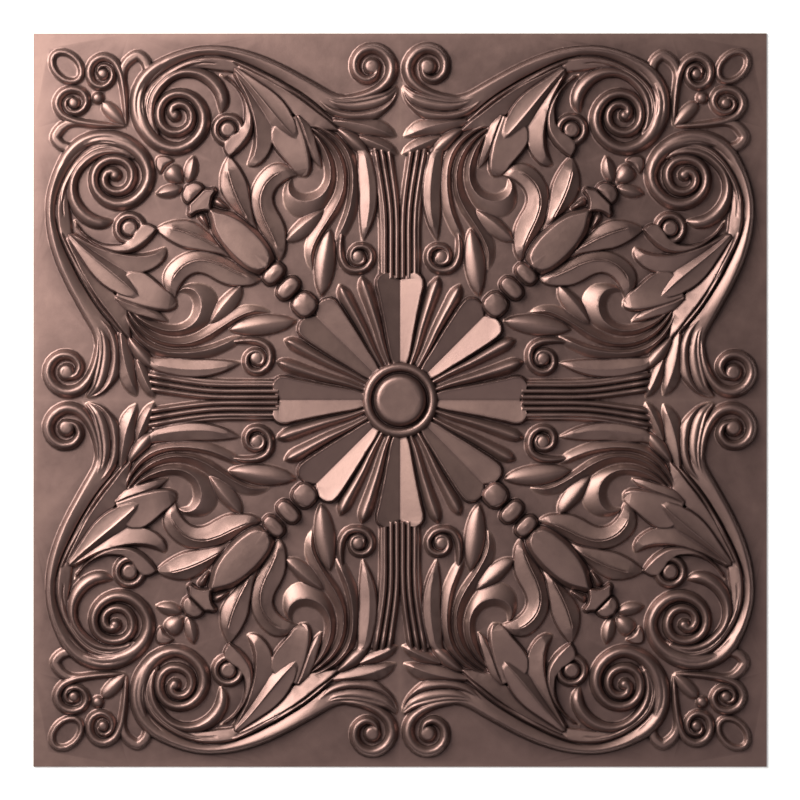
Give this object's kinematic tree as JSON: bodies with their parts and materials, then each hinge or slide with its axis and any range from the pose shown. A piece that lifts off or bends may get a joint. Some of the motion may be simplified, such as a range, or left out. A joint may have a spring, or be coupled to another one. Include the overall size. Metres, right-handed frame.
{
  "type": "ceiling tile",
  "caption": "Square lay-in ceiling tile formed from one thin sheet, with acanthus scrolls round a central rosette and a hollow back.",
  "frame": {"origin": "middle of the flat back of the sheet, where its rim rests on a ceiling grid", "axes": "+Z out of the decorated face, +X and +Y along the square's edges, +Y the top of the pictured pattern"},
  "size_m": [0.603, 0.603, 0.0104],
  "materials": {
    "antique_copper": "thin PVC sheet with a satin antique copper film on its face"
  },
  "bodies": {
    "root": {"tile": "antique_copper"}
  },
  "joints": []
}
